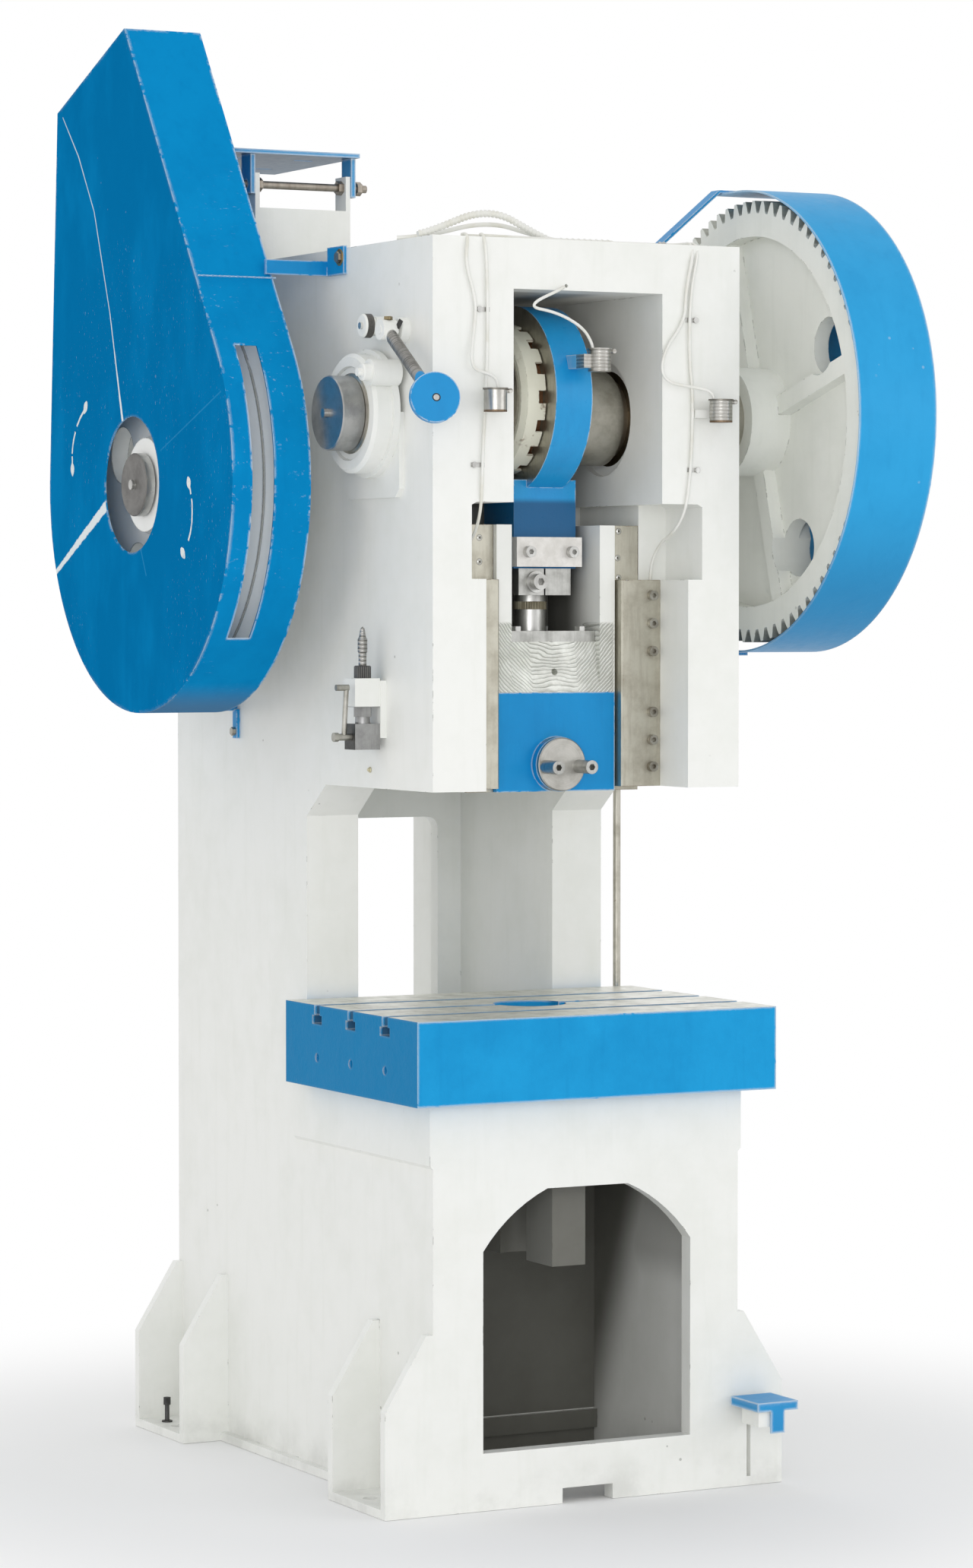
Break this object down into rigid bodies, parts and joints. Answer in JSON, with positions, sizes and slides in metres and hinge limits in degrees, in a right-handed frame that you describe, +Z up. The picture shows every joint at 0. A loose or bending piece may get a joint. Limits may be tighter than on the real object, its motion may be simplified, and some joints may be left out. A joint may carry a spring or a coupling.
{
  "type": "stamping press",
  "caption": "Open-back eccentric stamping press with flywheel, geared crank, slide in gibs, slotted bolster, sheet guards and foot treadle.",
  "frame": {"origin": "on the floor, in the middle of the four anchor holes", "axes": "+X to the press's right seen from the front, +Y to its back, +Z up"},
  "size_m": [1.1533, 1.274, 2.605],
  "materials": {
    "white_paint": "semi-gloss enamel over cast iron and welded plate",
    "blue_paint": "semi-gloss enamel with chipped edges",
    "machined_steel": "machined and worn",
    "polished_steel": "turned bright",
    "dark_steel": "black oxide",
    "bare_iron": "oiled, unpainted",
    "bronze": "dull",
    "white_nylon": "satin"
  },
  "bodies": {
    "frame": {"frame_casting": "white_paint", "bolster_plate": "machined_steel", "gibs": "machined_steel", "gib_screws": "dark_steel", "bearing_flanges": "white_paint", "crank_bushes": "bronze", "drive_bearings": "white_paint", "belt_guard": "blue_paint", "guard_straps": "blue_paint", "guard_bolts": "dark_steel", "gear_guard": "blue_paint", "gear_guard_stays": "blue_paint", "motor_bracket": "white_paint", "hinge_rod": "machined_steel", "hinge_nuts": "machined_steel", "tension_stud": "machined_steel", "lever_bosses": "white_paint", "slotted_collar": "machined_steel", "pump_body": "machined_steel", "pump_bracket": "white_paint", "pump_spindle": "machined_steel", "oil_cups": "machined_steel", "oil_tubes": "white_nylon", "top_hoses": "white_nylon", "tube_clips": "machined_steel", "jack_bolt": "machined_steel", "pedal_bracket": "white_paint", "rod_guides": "white_paint"},
    "crank": {"crankshaft": "polished_steel", "stroke_ring": "bare_iron", "drive_gear": "white_paint", "crank_end_disc": "polished_steel", "gear_end_plate": "white_paint"},
    "rod": {"connecting_rod": "blue_paint", "rod_clamp_plate": "machined_steel", "lock_block": "machined_steel", "rod_bolts": "dark_steel", "oil_cup_rod": "machined_steel"},
    "screw": {"ball_screw": "polished_steel", "ratchet_ring": "machined_steel"},
    "slide": {"slide_casting": "white_paint", "wear_strips": "machined_steel", "ball_cap_plate": "machined_steel", "cap_bolts": "dark_steel", "clamp_block": "blue_paint", "clamp_disc": "machined_steel", "clamp_studs": "machined_steel"},
    "drive": {"drive_shaft": "machined_steel", "pinion": "bare_iron", "flywheel": "white_paint", "flywheel_end_disc": "machined_steel"},
    "tilt": {"motor_plate": "blue_paint", "tension_nuts": "machined_steel"},
    "trip": {"trip_lever": "machined_steel", "palm_disc": "blue_paint"},
    "pump": {"pump_handle": "machined_steel"},
    "treadle": {"foot_pedal": "white_paint", "step_plate": "blue_paint"},
    "pull": {"pull_rod": "machined_steel"}
  },
  "joints": [
    {"name": "crank_spin", "type": "hinge", "parent": "frame", "child": "crank", "pos_m": [0, -0.32, 1.897], "axis": [1, 0, 0], "continuous": true},
    {"name": "conrod_swing", "type": "hinge", "parent": "crank", "child": "rod", "pos_m": [0, -0.32, 1.927], "axis": [1, 0, 0], "continuous": true},
    {"name": "screw_turn", "type": "hinge", "parent": "rod", "child": "screw", "pos_m": [0, -0.32, 1.56], "axis": [0, 0, 1], "range_deg": [-180, 180]},
    {"name": "drive_spin", "type": "hinge", "parent": "frame", "child": "drive", "pos_m": [0, 0.14602, 1.782], "axis": [1, 0, 0], "continuous": true},
    {"name": "slide_travel", "type": "slide", "parent": "frame", "child": "slide", "axis": [0, 0, 1], "range_m": [-0.06, 0]},
    {"name": "motor_tilt", "type": "hinge", "parent": "frame", "child": "tilt", "pos_m": [-0.24, 0.132, 2.331], "axis": [1, 0, 0], "range_deg": [-1.4, 1.1]},
    {"name": "trip_swing", "type": "hinge", "parent": "frame", "child": "trip", "pos_m": [-0.338, -0.431, 2.037], "axis": [1, 0, 0], "range_deg": [-12, 17]},
    {"name": "pump_swing", "type": "hinge", "parent": "frame", "child": "pump", "pos_m": [-0.377, -0.339, 1.335], "axis": [1, 0, 0], "range_deg": [-20, 25]},
    {"name": "treadle_press", "type": "hinge", "parent": "frame", "child": "treadle", "pos_m": [0.3265, 0.104, 0.13], "axis": [1, 0, 0], "range_deg": [0, 6.8], "stiffness_Nm_per_rad": 80, "springref_deg": -17.19},
    {"name": "pull_rod_travel", "type": "slide", "parent": "frame", "child": "pull", "axis": [0, 0, 1], "range_m": [-0.0155, 0.0001]}
  ],
  "couplings": [
    {"joint": "conrod_swing", "follows": "crank_spin", "ratio": -1},
    {"joint": "drive_spin", "follows": "crank_spin", "ratio": -4.3333},
    {"joint": "pull_rod_travel", "follows": "treadle_press", "m_per_rad": -0.128}
  ]
}
